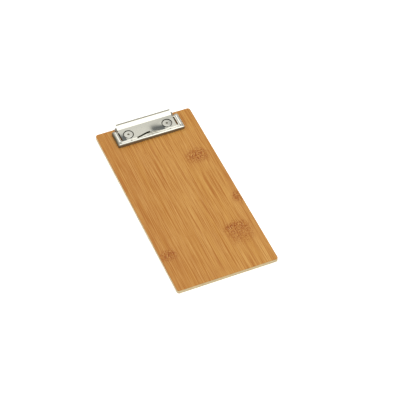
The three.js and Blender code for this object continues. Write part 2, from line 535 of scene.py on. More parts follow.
def noise(tree: Tree, place: Socket, size: float, detail: float, rough: float = 0.5) -> Socket:
    """Add soft noise.

    Args:
        tree: the material's tree.
        place: where the noise is read.
        size: how large its patches are, in the units of the place.
        detail: how many finer layers it has.
        rough: how strong the finer layers are.

    Returns:
        The value socket.
    """
    values = {"Scale": 1 / size, "Detail": detail, "Roughness": rough}
    return add_node(tree, "ShaderNodeTexNoise", {"Vector": place}, values).outputs["Fac"]


def ramp(
    tree: Tree, source: Socket, low: float, high: float, to_low: float = 0.0, to_high: float = 1.0
) -> Socket:
    """Stretch a value from one range to another and hold it there.

    Args:
        tree: the material's tree.
        source: the value.
        low: the value that gives to_low.
        high: the value that gives to_high.
        to_low: least result.
        to_high: greatest result.

    Returns:
        The result socket.
    """
    values = {"From Min": low, "From Max": high, "To Min": to_low, "To Max": to_high}
    return add_node(tree, "ShaderNodeMapRange", {"Value": source}, values).outputs["Result"]


def blend(tree: Tree, factor: Socket, under: Socket | str, over: str) -> Socket:
    """Lay a colour over another.

    Args:
        tree: the material's tree.
        factor: how far the upper colour covers.
        under: the lower colour.
        over: the upper colour.

    Returns:
        The colour socket.
    """
    links, values = {"Factor": factor}, {7: linear(over)}
    if isinstance(under, str):
        values[6] = linear(under)
    else:
        links[6] = under
    return add_node(tree, "ShaderNodeMix", links, values, data_type="RGBA").outputs[2]


def emboss(tree: Tree, shader: Node, height: Socket, strength: float, depth: float) -> None:
    """Let a value raise a finish's surface.

    Args:
        tree: the material's tree.
        shader: its shader.
        height: the value.
        strength: how far the relief is shown.
        depth: how high a value of 1 stands.
    """
    values = {"Strength": strength, "Distance": depth}
    relief = add_node(tree, "ShaderNodeBump", {"Height": height}, values)
    tree.links.new(relief.outputs["Normal"], shader.inputs["Normal"])


@dataclass(frozen=True)
class BambooVeneer:
    """Carbonised bamboo veneer, sliced, glued up in strips, sanded and sealed with satin lacquer.

    The eye sees warm caramel strips, fine fibres running lengthwise, and knuckles where each cane had
    its joints.
    """

    base: str = "#BA863C"
    dark: str = "#9A560E"
    light: str = "#CA9C58"
    knuckle: str = "#8A440A"
    edge: str = "#D9C79C"
    fibre_width: float = 0.75 * MM
    fibre_length: float = 60 * MM
    roughness: float = 0.46
    strip_joints: tuple[float, ...] = (-39.5 * MM, -9 * MM, 21 * MM, 49.5 * MM)
    strip_tones: tuple[float, ...] = (0.55, 0.3, 0.1, 0.0, 0.3)

    def make(self) -> Material:
        """Build the material on the piece's own grain map, knuckle and edge attributes."""
        material, tree, shader = new_material("bamboo_veneer_satin_lacquer")
        flat = add_node(tree, "ShaderNodeUVMap", uv_map="grain").outputs["UV"]
        knuckle = add_node(tree, "ShaderNodeAttribute", attribute_name="knuckle").outputs["Fac"]
        edge = add_node(tree, "ShaderNodeAttribute", attribute_name="edge").outputs["Fac"]
        tone, grain = self.strips(tree, flat)

        def streaks(width: float, length: float, detail: float, shift: float) -> Socket:
            """Noise drawn out along the grain; returns its value socket."""
            values = {"Location": (shift, shift, 0), "Scale": (1 / width, 1 / length, 1)}
            place = add_node(tree, "ShaderNodeMapping", {"Vector": grain}, values)
            return noise(tree, place.outputs["Vector"], 1.0, detail, 0.6)

        def times(a: Socket, b: Socket | float) -> Socket:
            """Multiply two values; returns the value socket."""
            node = add_node(tree, "ShaderNodeMath", {0: a}, operation="MULTIPLY")
            if isinstance(b, (int, float)):
                node.inputs[1].default_value = b
            else:
                tree.links.new(b, node.inputs[1])
            return node.outputs[0]

        broad = ramp(tree, streaks(9 * MM, 170 * MM, 2, 3.1), 0.32, 0.68)
        medium = ramp(tree, streaks(1.5 * MM, 80 * MM, 3, 1.3), 0.5, 0.68)
        fine = ramp(tree, streaks(self.fibre_width, self.fibre_length, 2, 7.7), 0.47, 0.64)
        pale = ramp(tree, streaks(0.9 * MM, 60 * MM, 2, 4.4), 0.5, 0.68)
        dashes = ramp(tree, streaks(0.6 * MM, 9 * MM, 2, 5.9), 0.52, 0.72)
        specks = ramp(tree, streaks(1.2 * MM, 2.4 * MM, 2, 9.2), 0.48, 0.6)
        flecks = ramp(tree, streaks(1.2 * MM, 1.4 * MM, 1, 2.4), 0.56, 0.66)

        colour: Socket | str = self.base
        for factor, over in (
            (times(broad, 0.5), self.light),
            (times(tone, 0.6), self.dark),
            (times(medium, 0.62), self.dark),
            (times(pale, 0.7), self.light),
            (times(fine, 0.75), self.dark),
            (times(dashes, 0.35), self.dark),
            (times(knuckle, 0.5), self.dark),
            (times(knuckle, times(specks, 1.4)), self.knuckle),
            (times(times(knuckle, flecks), 0.8), self.light),
            (edge, self.edge),
        ):
            colour = blend(tree, factor, colour, over)
        tree.links.new(colour, shader.inputs["Base Color"])
        rough = ramp(tree, fine, 0, 1, self.roughness - 0.05, self.roughness + 0.08)
        tree.links.new(rough, shader.inputs["Roughness"])
        shader.inputs["IOR"].default_value = 1.45
        shader.inputs["Specular IOR Level"].default_value = 0.35
        emboss(tree, shader, fine, 0.25, 0.03 * MM)
        return material

    def strips(self, tree: Tree, flat: Socket) -> tuple[Socket, Socket]:
        """Cut the grain into the glued-up strips.

        Args:
            tree: the material's tree.
            flat: the piece's grain map.

        Returns:
            The tone of the strip, and the grain map shifted lengthwise from strip to strip.
        """
        across = add_node(tree, "ShaderNodeSeparateXYZ", {"Vector": flat}).outputs["X"]
        reach = 0.1
        strip = add_node(tree, "ShaderNodeValToRGB", {"Fac": ramp(tree, across, -reach, reach)})
        strip.color_ramp.interpolation = "CONSTANT"
        stops = [0.0, *((joint + reach) / (2 * reach) for joint in self.strip_joints)]
        while len(strip.color_ramp.elements) < len(stops):
            strip.color_ramp.elements.new(1.0)
        for i, (element, stop) in enumerate(zip(strip.color_ramp.elements, stops)):
            element.position = stop
            element.color = (self.strip_tones[i], (0.37 * i) % 1, 0.0, 1.0)
        parts = add_node(tree, "ShaderNodeSeparateColor", {"Color": strip.outputs["Color"]})
        shift = add_node(tree, "ShaderNodeCombineXYZ", {"Y": parts.outputs["Green"]})
        links = {0: flat, 1: shift.outputs["Vector"]}
        moved = add_node(tree, "ShaderNodeVectorMath", links, operation="ADD")
        return parts.outputs["Red"], moved.outputs["Vector"]


@dataclass(frozen=True)
class PaleCore:
    """Natural, uncarbonised bamboo core, sawn and sanded at the edge: cream, matt, with fine layers."""

    base: str = "#CBBD95"
    dark: str = "#B6A27A"
    layer: float = 0.55 * MM
    patch: float = 9 * MM
    roughness: float = 0.7

    def make(self) -> Material:
        """Build the material on object coordinates."""
        material, tree, shader = new_material("natural_bamboo_core_sanded")
        place = add_node(tree, "ShaderNodeTexCoord").outputs["Object"]
        scale = (1 / self.patch, 1 / self.patch, 1 / self.layer)
        mapped = add_node(tree, "ShaderNodeMapping", {"Vector": place}, {"Scale": scale})
        patches = noise(tree, mapped.outputs["Vector"], 1.0, 4.0, 0.6)
        mix = add_node(tree, "ShaderNodeValToRGB", {"Fac": patches})
        stops = ((0.3, self.dark), (0.62, self.base))
        for element, (position, colour) in zip(mix.color_ramp.elements, stops):
            element.position, element.color = position, linear(colour)
        tree.links.new(mix.outputs["Color"], shader.inputs["Base Color"])
        shader.inputs["Roughness"].default_value = self.roughness
        emboss(tree, shader, patches, 0.3, 0.05 * MM)
        return material


@dataclass(frozen=True)
class PlatedMetal:
    """A plated metal: its colour, polish, how much its surface ripples, and where painted shade darkens it.

    Bright nickel over pressed steel gives a warm, near-mirror grey with soft ripples from the press.
    Where the shade attribute is set, the colour is painted shade: darker, browner and less metallic.
    """

    name: str
    colour: str
    roughness: float
    ripple_size: float = 6 * MM
    ripple_depth: float = 0.012 * MM
    grain_size: float = 0.35 * MM
    # colour of the painted shade laid where the mask attribute is set; empty for none
    painted_shade: str = ""

    def make(self) -> Material:
        """Build the material on object coordinates."""
        material, tree, shader = new_material(self.name)
        shader.inputs["Metallic"].default_value = 1.0
        shader.inputs["Base Color"].default_value = linear(self.colour)
        place = add_node(tree, "ShaderNodeTexCoord").outputs["Object"]
        # painted shade: the mask attribute blends in the dark colour and lowers metallic, standing in for
        # shade and dark reflections
        if self.painted_shade:
            shade_mask = add_node(tree, "ShaderNodeAttribute", attribute_name="painted_shade").outputs["Fac"]
            tree.links.new(blend(tree, shade_mask, self.colour, self.painted_shade), shader.inputs["Base Color"])
            tree.links.new(ramp(tree, shade_mask, 0, 1, 1.0, 0.55), shader.inputs["Metallic"])
        grain = noise(tree, place, self.grain_size, 4.0)
        rough = ramp(tree, grain, 0.3, 0.7, self.roughness * 0.75, self.roughness * 1.35)
        tree.links.new(rough, shader.inputs["Roughness"])
        emboss(tree, shader, noise(tree, place, self.ripple_size, 1.0), 0.6, self.ripple_depth)
        return material


# ---------------------------------------------------------------- board


@dataclass
class Knuckle:
    """One joint of a cane, seen in the veneer as a ragged band with a tail of short fibres."""

    x: float
    y: float
    width: float
    height: float
    tail: float


@dataclass
class Board:
    """The three-ply board. Its outline, plies and counterbores come from the frame."""

    corner: float = 3 * MM
    edge_round: float = 0.35 * MM
    grid: float = 1.6 * MM
    shank_hole: float = 1.65 * MM
    crisp_edge: float = 0.02 * MM
    bore_gap: float = 0.3 * MM
    rim_steps: int = 4
    knuckles: tuple[Knuckle, ...] = (
        Knuckle(37 * MM, 51 * MM, 12 * MM, 8 * MM, 16 * MM),
        Knuckle(54 * MM, -25 * MM, 6 * MM, 8 * MM, 8 * MM),
        Knuckle(35 * MM, -63 * MM, 13 * MM, 6 * MM, 32 * MM),
        Knuckle(-48 * MM, -74 * MM, 9 * MM, 6 * MM, 8 * MM),
    )

    def outline(self, inset: float) -> list[Point2]:
        """The board's outline, drawn in by inset metres."""
        low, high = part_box("face_veneer")
        shape = rounded_rectangle(
            (low.x + inset, low.y + inset), (high.x - inset, high.y - inset), self.corner - inset, 10
        )
        return stepped(shape, 2 * self.grid)

    def ply(
        self,
        name: str,
        low: float,
        high: float,
        top_round: float,
        bottom_round: float,
        holes: Sequence[tuple[Point2, float]],
    ) -> Piece:
        """Build one ply as a closed solid with rounded rims.

        Args:
            name: the piece's name.
            low: height of its lower face.
            high: height of its upper face.
            top_round: radius of its upper rim.
            bottom_round: radius of its lower rim.
            holes: centre and radius of each round hole through it.

        Returns:
            The ply.
        """
        hole_loops = [arc(centre, radius, 0, 360, 40)[:-1] for centre, radius in holes]
        verts: list[Point3] = []
        faces: list[list[int]] = []
        levels: list[tuple[float, float]] = []
        angles = [math.pi / 2 * i / self.rim_steps for i in range(self.rim_steps + 1)]
        for a in angles:
            levels.append((top_round * (1 - math.sin(a)), high - top_round * (1 - math.cos(a))))
        for a in angles:
            levels.append((bottom_round * (1 - math.cos(a)), low + bottom_round * (1 - math.sin(a))))
        for inset, height in levels:
            ring = self.outline(inset)
            verts += [(x, y, height) for x, y in ring]
        count = len(self.outline(0))
        for row in range(len(levels) - 1):
            faces += bridge(row * count, (row + 1) * count, count)
        for inset, height in (levels[0], levels[-1]):
            flat, triangles = fill(self.outline(inset), hole_loops, self.grid)
            first = len(verts)
            verts += [(x, y, height) for x, y in flat]
            faces += [[first + i for i in t] for t in triangles]
        for loop in hole_loops:
            first = len(verts)
            verts += [(x, y, high) for x, y in loop] + [(x, y, low) for x, y in loop]
            faces += bridge(first, first + len(loop), len(loop))
        return mesh_object(name, verts, faces)

    def map_grain(self, piece: Piece, shift: float, knuckles: Iterable[Knuckle], bare_edge: float) -> None:
        """Write the grain map, the knuckle strength and the bare edge of a veneer.

        Args:
            piece: the veneer.
            shift: moves the pattern along the grain, so that the two faces differ.
            knuckles: the cane joints that this face shows.
            bare_edge: how far the sawn edge shows pale wood, from 0 to 1.
        """
        mesh = piece.data
        points = np.array([v.co[:] for v in mesh.vertices])
        x, y = points[:, 0], points[:, 1]
        u, v = x.copy(), y + shift
        strength = np.zeros(len(x))
        for knuckle in knuckles:
            dx, dy = (x - knuckle.x) / knuckle.width, y - knuckle.y
            flank = np.exp(-(dx**4))
            near = flank * np.exp(-((dy / (1.6 * knuckle.height)) ** 2))
            u -= 0.25 * knuckle.width * dx * near
            tail = smooth(2 * MM, -4 * MM, dy) * smooth(-knuckle.tail, -0.3 * knuckle.tail, dy)
            v += 7 * MM * np.abs(dx) * flank * (near + tail)
            ridge = dy - 3 * MM * (1 - dx**2)
            row = np.exp(-((ridge / (0.5 * knuckle.height)) ** 2))
            cloud = np.exp(-1.5 * dx**2 - (dy / (1.2 * knuckle.height)) ** 2)
            strength += flank * (0.9 * row + 0.75 * tail) + 0.6 * cloud
        _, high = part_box("face_veneer")
        rim = np.minimum(high.x - np.abs(x), high.y - np.abs(y)) < 0.03 * MM
        uv = mesh.uv_layers.new(name="grain")
        corner_points = np.array([loop.vertex_index for loop in mesh.loops])
        uv.data.foreach_set("uv", np.column_stack([u, v])[corner_points].ravel())
        for name, values in (("knuckle", np.clip(strength, 0, 1)), ("edge", rim * bare_edge)):
            paint(mesh, name, values)

    def build(self) -> None:
        """Build, dress and place the three plies."""
        bamboo, core_finish = BambooVeneer().make(), PaleCore().make()
        back_low, back_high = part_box("back_veneer")
        face_low, face_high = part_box("face_veneer")
        washers = [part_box(f"rivet_washer_{side}") for side in ("left", "right")]
        bores: list[tuple[Point2, float]] = []
        for low, high in washers:
            middle = (low + high) / 2
            bores.append(((middle.x, middle.y), (high.x - low.x) / 2 + self.bore_gap))
        shanks = [(centre, self.shank_hole) for centre, _ in bores]
        rounds = (self.edge_round, self.crisp_edge)
        face = self.ply("board_face_veneer", face_low.z, face_high.z, *rounds, shanks)
        self.map_grain(face, 0.0, self.knuckles, 0.35)
        finish_piece(face, Ride.BOARD, Slot.BAMBOO, bamboo, "face_veneer")
        back = self.ply("board_back_veneer", back_low.z, back_high.z, *rounds[::-1], bores)
        turned = [Knuckle(-k.x, -k.y, k.width, k.height, k.tail) for k in self.knuckles]
        self.map_grain(back, 0.4, turned, 0.9)
        finish_piece(back, Ride.BOARD, Slot.BAMBOO, bamboo, "back_veneer")
        core = softened_copy("core", "board_core", 0.05 * MM, 1)
        finish_piece(core, Ride.BOARD, Slot.CORE, core_finish, "core")


# ---------------------------------------------------------------- clip


@dataclass
class Lever:
    """The pressed lever: skirt, front band with its arch, lower panel and bent-up thumb bar.

    It is drawn flat, as the blank before pressing, and every point is then carried to its pressed place.
    Heights are above the board's face.
    """

    sheet: float = 0.8 * MM
    bend: float = 2.2 * MM
    bend_drop: float = 1.1 * MM
    corner: float = 1.6 * MM
    rim_top: float = 4.3 * MM
    panel_top: float = 3.9 * MM
    jaw_gap: float = 0.1 * MM
    panel_half: float = 32.8 * MM
    notch_half: float = 35.8 * MM
    slit: float = 1.6 * MM
    slit_front: float = 6.0 * MM
    slit_rear: float = 18.9 * MM
    skirt_depth: float = 23.2 * MM
    skirt_inner: float = 0.3 * MM
    notch_inset: float = 5 * MM
    crease_inset: float = 1.9 * MM
    lug_round: float = 1.9 * MM
    bar_corner: float = 1.4 * MM
    band: float = 4.5 * MM
    arch_half: float = 16.5 * MM
    arch_rise: float = 2.7 * MM
    slot_lead: float = 1.0 * MM
    slot_width: float = 2.3 * MM
    hole: float = 6.1 * MM
    bar_angle: float = math.radians(36)
    bar_bend: float = 1.2 * MM
    lip_bend: float = 0.6 * MM
    lip: float = 1.4 * MM
    step_width: float = 0.25 * MM
    grid: float = 0.6 * MM
    pilot: float = 0.65 * MM
    pilot_inset: float = 2.6 * MM
    front_slope: float = 0.55 * MM
    ripple: float = 0.045 * MM
    groove_inset: float = 3.0 * MM
    groove_width: float = 0.5 * MM
    groove_front: float = 0.16 * MM
    groove_side: float = 0.45 * MM
    mark_side: float = 3.9 * MM
    mark_front: float = 4.1 * MM
    mark_size: float = 0.7 * MM
    mark_depth: float = 0.4 * MM
    dish_centre: float = 0.95 * MM
    dish_side: float = 0.4 * MM
    dish_start: float = 4.5 * MM
    dish_reach_centre: float = 18 * MM
    dish_reach_side: float = 5.5 * MM
    # turn of the bend at which painted shade sets in on the skirt's walls, how far that shifts from walls
    # facing left to walls facing right, and over what turn it fades in
    wall_shade_start: float = math.radians(40)
    wall_shade_swing: float = math.radians(35)
    wall_shade_ease: float = math.radians(18)
    low: Vector = field(default_factory=lambda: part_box("clip_lever")[0])
    high: Vector = field(default_factory=lambda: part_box("clip_lever")[1])
    board_top: float = field(default_factory=lambda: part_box("face_veneer")[1].z)

    def __post_init__(self) -> None:
        """Work out the places that follow from the frame."""
        self.half = self.high.x
        self.front = self.low.y
        self.rivet_x = sum(corner.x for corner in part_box("rivet_right")) / 2
        self.rivet_y = sum(corner.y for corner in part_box("rivet_right")) / 2
        pin_low, pin_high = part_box("pivot_pin")
        self.hinge_y = (pin_low.y + pin_high.y) / 2
        self.hinge_z = (pin_low.z + pin_high.z) / 2
        self.rear = self.front + self.skirt_depth
        self.notch_front = self.hinge_y - self.notch_inset
        self.crease = self.hinge_y - self.crease_inset
        self.bar_start = self.crease - self.bar_bend * math.tan(self.bar_angle / 2)
        self.bar_straight = self.bar_start + self.bar_bend * self.bar_angle
        lip_rise = self.high.y - self.lip_bend * (1 + math.sin(self.bar_angle))
        foot = self.bar_start + self.bar_bend * math.sin(self.bar_angle)
        self.lip_start = self.bar_straight + (lip_rise - foot) / math.cos(self.bar_angle)
        self.lip_straight = self.lip_start + self.lip_bend * (self.bar_angle + math.pi / 2)
        self.blank_end = self.lip_straight + self.lip

    def arch_y(self, x: np.ndarray | float) -> np.ndarray:
        """Where the front band ends and the panel starts, at each x."""
        x = np.clip(np.asarray(x, float), -self.arch_half, self.arch_half)
        return self.front + self.band + self.arch_rise * 0.5 * (1 + np.cos(math.pi * x / self.arch_half))

    def height(self, x: np.ndarray, y: np.ndarray) -> np.ndarray:
        """Height of the pressed top surface above the board's face.

        Args:
            x: places across the clip.
            y: places along the board.

        Returns:
            The heights.
        """
        across, depth = np.abs(x), y - self.front
        side_band = smooth(self.panel_half + self.slit * 0.8, self.panel_half + 2.6 * MM, across)
        edge = self.arch_y(x)
        front_band = smooth(edge + self.step_width, edge, y)
        raised = np.maximum(side_band, front_band)
        low = self.panel_top - self.dish(x, y) * (1 - front_band)
        sloped = self.front_slope * smooth(edge, self.front + self.pilot_inset, y)
        sloped *= smooth(-1 * MM, 2 * MM, self.half - 4 * MM - across) * smooth(2.2 * MM, 2.8 * MM, depth)
        top = low + (self.rim_top - low) * raised - sloped * front_band
        wave = np.sin(x / (0.9 * MM) + 2 * np.sin(x / (3.1 * MM)))
        top += self.ripple * wave * front_band * raised
        inset = np.minimum(self.half - across, depth)
        to_side = smooth(-1.5 * MM, 1.5 * MM, depth - (self.half - across))
        depths = self.groove_front + (self.groove_side - self.groove_front) * to_side
        groove = depths * np.exp(-(((inset - self.groove_inset) / self.groove_width) ** 2))
        mark = np.hypot(across - self.half + self.mark_side, depth - self.mark_front)
        return top - groove - self.mark_depth * np.exp(-((mark / self.mark_size) ** 2))

    def dish(self, x: np.ndarray, y: np.ndarray) -> np.ndarray:
        """How far the panel is sunk beside each rivet hole.

        Args:
            x: places across the clip.
            y: places along the board.

        Returns:
            The depths.
        """
        beside = np.abs(x) - self.rivet_x
        near = np.clip(1 - (-beside - self.dish_start) / self.dish_reach_centre, 0, 1)
        to_centre = np.where(near < 0.25, 2 * near**2, near - 0.125) * (beside < 0)
        to_side = np.clip(1 - (beside - self.dish_start) / self.dish_reach_side, 0, 1) * (beside >= 0)
        along = smooth(self.rivet_y + 7 * MM, self.rivet_y - 4 * MM, y)
        return (self.dish_centre * to_centre + self.dish_side * to_side) * along

    def pressed(self, x: np.ndarray, q: np.ndarray) -> np.ndarray:
        """Carry flat blank points behind the skirt to their pressed places.

        Args:
            x: places across the blank.
            q: places along the blank, equal to y as far as the thumb bar.

        Returns:
            Rows of x, y and z.
        """
        flat_y = np.minimum(q, self.bar_start)
        y, z = flat_y.copy(), self.height(x, flat_y)
        turn = np.clip((q - self.bar_start) / self.bar_bend, 0, self.bar_angle)
        y += self.bar_bend * np.sin(turn)
        z += self.bar_bend * (1 - np.cos(turn))
        rise = np.clip(q - self.bar_straight, 0, self.lip_start - self.bar_straight)
        y += rise * math.cos(self.bar_angle)
        z += rise * math.sin(self.bar_angle)
        roll = np.clip((q - self.lip_start) / self.lip_bend, 0, self.bar_angle + math.pi / 2)
        heading = self.bar_angle - roll
        y += self.lip_bend * (math.sin(self.bar_angle) - np.sin(heading))
        z += self.lip_bend * (np.cos(heading) - math.cos(self.bar_angle))
        z -= np.maximum(q - self.lip_straight, 0)
        return np.column_stack([x, y, z + self.board_top])

    def rim_path(self) -> list[tuple[Point2, Point2]]:
        """Follow the skirt from the rear right round the front to the rear left.

        Returns:
            Where its bend starts, and where its wall stands, at each step.
        """
        x, rear, front = self.half, self.rear, self.front
        legs = [((self.notch_half, rear - self.bend), (self.notch_half, rear))]
        for across, along, start in ((1, 1, 90), (1, -1, 0), (-1, -1, -90), (-1, 1, -180)):
            for i in range(7):
                angle = math.radians(start - 15 * i)
                pair = []
                for inset, radius in ((self.bend, self.skirt_inner), (0.0, self.corner)):
                    middle = (front + rear) / 2
                    cx = across * (x - inset - radius)
                    cy = middle + along * ((rear - front) / 2 - inset - radius)
                    pair.append((cx + radius * math.cos(angle), cy + radius * math.sin(angle)))
                legs.append((pair[0], pair[1]))
        legs.append(((-self.notch_half, rear - self.bend), (-self.notch_half, rear)))
        path: list[tuple[Point2, Point2]] = []
        for a, b in zip(legs, legs[1:]):
            pieces = max(1, math.ceil(math.dist(a[0], b[0]) / self.grid))
            steps = [np.array(a) + (np.array(b) - np.array(a)) * i / pieces for i in range(pieces)]
            path += [(tuple(step[0]), tuple(step[1])) for step in steps]
        return [*path, legs[-1]]

    def rear_outline(self) -> list[Point2]:
        """The blank's outline behind the rim: the ear notches and the thumb bar."""
        radius = self.bar_corner
        side, end = self.panel_half, self.blank_end
        notch, rear = self.notch_half, self.rear - self.bend
        shape: list[Point2] = [(-notch, rear), (-notch, self.notch_front), (-side, self.notch_front)]
        shape += arc((-side + radius, end - radius), radius, 180, 90, 6)
        shape += arc((side - radius, end - radius), radius, 90, 0, 6)
        shape += [(side, self.notch_front), (notch, self.notch_front), (notch, rear)]
        return stepped(shape, self.grid, closed=False)[1:-1]

    def openings(self) -> list[list[Point2]]:
        """The holes pierced in the blank: the two for the rivets, and the slots."""
        holes = [arc((side * self.rivet_x, self.rivet_y), self.hole, 0, 360, 64)[:-1] for side in (-1, 1)]
        return holes + self.slots()

    def slots(self) -> list[list[Point2]]:
        """The narrow openings: pilot holes, side slits and the arch slot."""
        holes: list[list[Point2]] = []
        for side in (-1, 1):
            centre = (side * self.rivet_x, self.front + self.pilot_inset)
            holes.append(arc(centre, self.pilot, 0, 360, 12)[:-1])
            near, far = sorted((side * self.panel_half, side * (self.panel_half + self.slit)))
            slit = rounded_rectangle(
                (near, self.front + self.slit_front), (far, self.front + self.slit_rear), 0.45 * self.slit, 5
            )
            holes.append(stepped(slit, self.grid))
        xs = np.linspace(-self.arch_half + 0.8 * MM, 0.4 * MM, 28)
        near_edge = [(x, float(self.arch_y(x)) - self.slot_lead) for x in xs]
        far_edge = [(x, y + self.slot_width) for x, y in near_edge]
        holes.append(near_edge + far_edge[::-1])
        return holes

    def painted_shade_map(self, x: np.ndarray, q: np.ndarray) -> np.ndarray:
        """How far painted shade darkens the plating: lip, slot edges, front left corner and front band.

        Args:
            x: places across the blank.
            q: places along the blank.

        Returns:
            Values from 0, bright, to 1, dull.
        """
        places = np.column_stack([x, q])
        # painted shade over the lip's roll at the rear of the thumb bar
        shade_mask = 0.8 * smooth(self.lip_start - 1.3 * MM, self.lip_start - 0.8 * MM, q)
        # painted shade along the edges of the pilot holes, side slits and arch slot
        for slot in self.slots():
            shade_mask = np.maximum(shade_mask, 1.0 * (clearance(places, slot) < 0.02 * MM))
        # painted dark reflection at the front left corner's dent, on the left side only
        corner = np.hypot(x + self.half - self.mark_side, q - self.front - self.mark_front)
        shade_mask = np.maximum(shade_mask, np.exp(-((corner / (0.8 * MM)) ** 2)))
        # painted shade over the whole front band, toning down its reflection, darker still in a streaked
        # patch just right of the middle
        middle = np.exp(-(((x - 4 * MM) / (8 * MM)) ** 2) - ((q - self.front - 4.6 * MM) / (1.6 * MM)) ** 2)
        band_shade = 0.3 + 0.6 * middle * (0.6 + 0.4 * np.sin(x / (0.8 * MM) + q / (0.5 * MM)))
        reach = smooth(self.front + 7.4 * MM, self.front + 6.8 * MM, q) * (self.arch_y(x) >= q)
        return np.maximum(shade_mask, band_shade * reach)

    def guides(self) -> list[list[Point2]]:
        """Lines along the top and the foot of the step between the front band and the panel."""
        lines: list[list[Point2]] = []
        for shift in (0.0, self.step_width):
            right = np.arange(1.2 * MM, self.panel_half, self.grid)
            left = np.arange(-self.panel_half, -self.arch_half, self.grid)
            for row in (left, right):
                lines.append([(x, float(self.arch_y(x)) + shift) for x in row])
        return lines

    def skin(self) -> Piece:
        """Build the outer skin of the sheet: the filled blank and the bent skirt."""
        path = self.rim_path()
        outline = [inner for inner, _ in path] + self.rear_outline()
        flat, triangles = fill(outline, self.openings(), self.grid, self.guides())
        blank = np.array(flat)
        verts = [tuple(row) for row in self.pressed(blank[:, 0], blank[:, 1])]
        painted_shade = list(self.painted_shade_map(blank[:, 0], blank[:, 1]))
        faces = [list(t) for t in triangles]
        inner, outer = np.array([pair[0] for pair in path]), np.array([pair[1] for pair in path])
        top = self.height(inner[:, 0], inner[:, 1])
        facing = outer - inner
        facing /= np.linalg.norm(facing, axis=1)[:, None]
        # painted shade on the skirt's walls: it sets in earlier in the bend on walls facing left than on
        # walls facing right, and is weaker on walls facing front or rear, so the left wall comes out darkest
        shade_from = self.wall_shade_start + self.wall_shade_swing * facing[:, 0]
        wall_shade_strength = 1 - 0.35 * np.abs(facing[:, 1])
        turns = np.radians(np.linspace(0, 90, 11))
        stages = [(math.sin(a), self.bend_drop * (1 - math.cos(a)), a) for a in turns]
        wall = self.rim_top - self.bend_drop - self.jaw_gap
        stages += [(1.0, self.bend_drop + wall * i / 4, math.pi / 2) for i in range(1, 5)]
        rings: list[int] = []
        for reach, drop, angle in stages:
            rings.append(len(verts))
            share = drop / (self.rim_top - self.jaw_gap)
            level = top + (self.rim_top - top) * share - drop + self.board_top
            ring = inner + (outer - inner) * reach
            verts += [(x, y, z) for (x, y), z in zip(ring, level)]
            painted_shade += list(wall_shade_strength * smooth(0, 1, (angle - shade_from) / self.wall_shade_ease))
        for upper, lower in zip(rings, rings[1:]):
            faces += bridge(upper, lower, len(path), closed=False)
        mesh = bpy.data.meshes.new("lever_skin")
        mesh.from_pydata(verts, [], faces)
        paint(mesh, "painted_shade", painted_shade)
        work = bmesh.new()
        work.from_mesh(mesh)
        bmesh.ops.remove_doubles(work, verts=work.verts, dist=5e-6)
        bmesh.ops.recalc_face_normals(work, faces=work.faces)
        flattest = max(work.faces, key=lambda face: abs(face.normal.z))
        if flattest.normal.z < 0:
            bmesh.ops.reverse_faces(work, faces=work.faces)
        work.to_mesh(mesh)
        work.free()
        return link_mesh("lever_skin", mesh)

    def lug(self, side: int) -> Piece:
        """Build the tab at the pin on one side of the panel. It isn't bored: the pin runs through it."""
        outer, inner = side * self.panel_half, side * (self.panel_half - self.sheet)
        base = self.board_top
        shape = [(self.hinge_y - 4 * MM, base + self.panel_top - 0.4 * MM)]
        shape += arc((self.hinge_y, self.hinge_z), self.lug_round, 216, 360, 20)
        shape.append((self.hinge_y + self.lug_round, self.hinge_z + 2.2 * MM))
        shape.append((self.crease + 1 * MM, base + self.panel_top))
        size = len(shape)
        verts = [(x, y, z) for x in (inner, outer) for y, z in shape]
        faces = [list(range(size)), list(range(size, 2 * size))]
        faces += bridge(0, size, size)
        return mesh_object(f"lever_lug_{'left' if side < 0 else 'right'}", verts, faces)

    def build(self, nickel: Material) -> None:
        """Build, dress and place the lever."""
        skin = self.skin()
        thick = skin.modifiers.new("sheet thickness", "SOLIDIFY")
        thick.thickness, thick.offset, thick.use_even_offset = self.sheet, -1, False
        lever = settle(skin, 40)
        lever.name = "clip_lever_pressed"
        finish_piece(lever, Ride.LEVER, Slot.NICKEL, nickel, "clip_lever")
        for side in (-1, 1):
            finish_piece(self.lug(side), Ride.LEVER, Slot.NICKEL, nickel, "clip_lever")


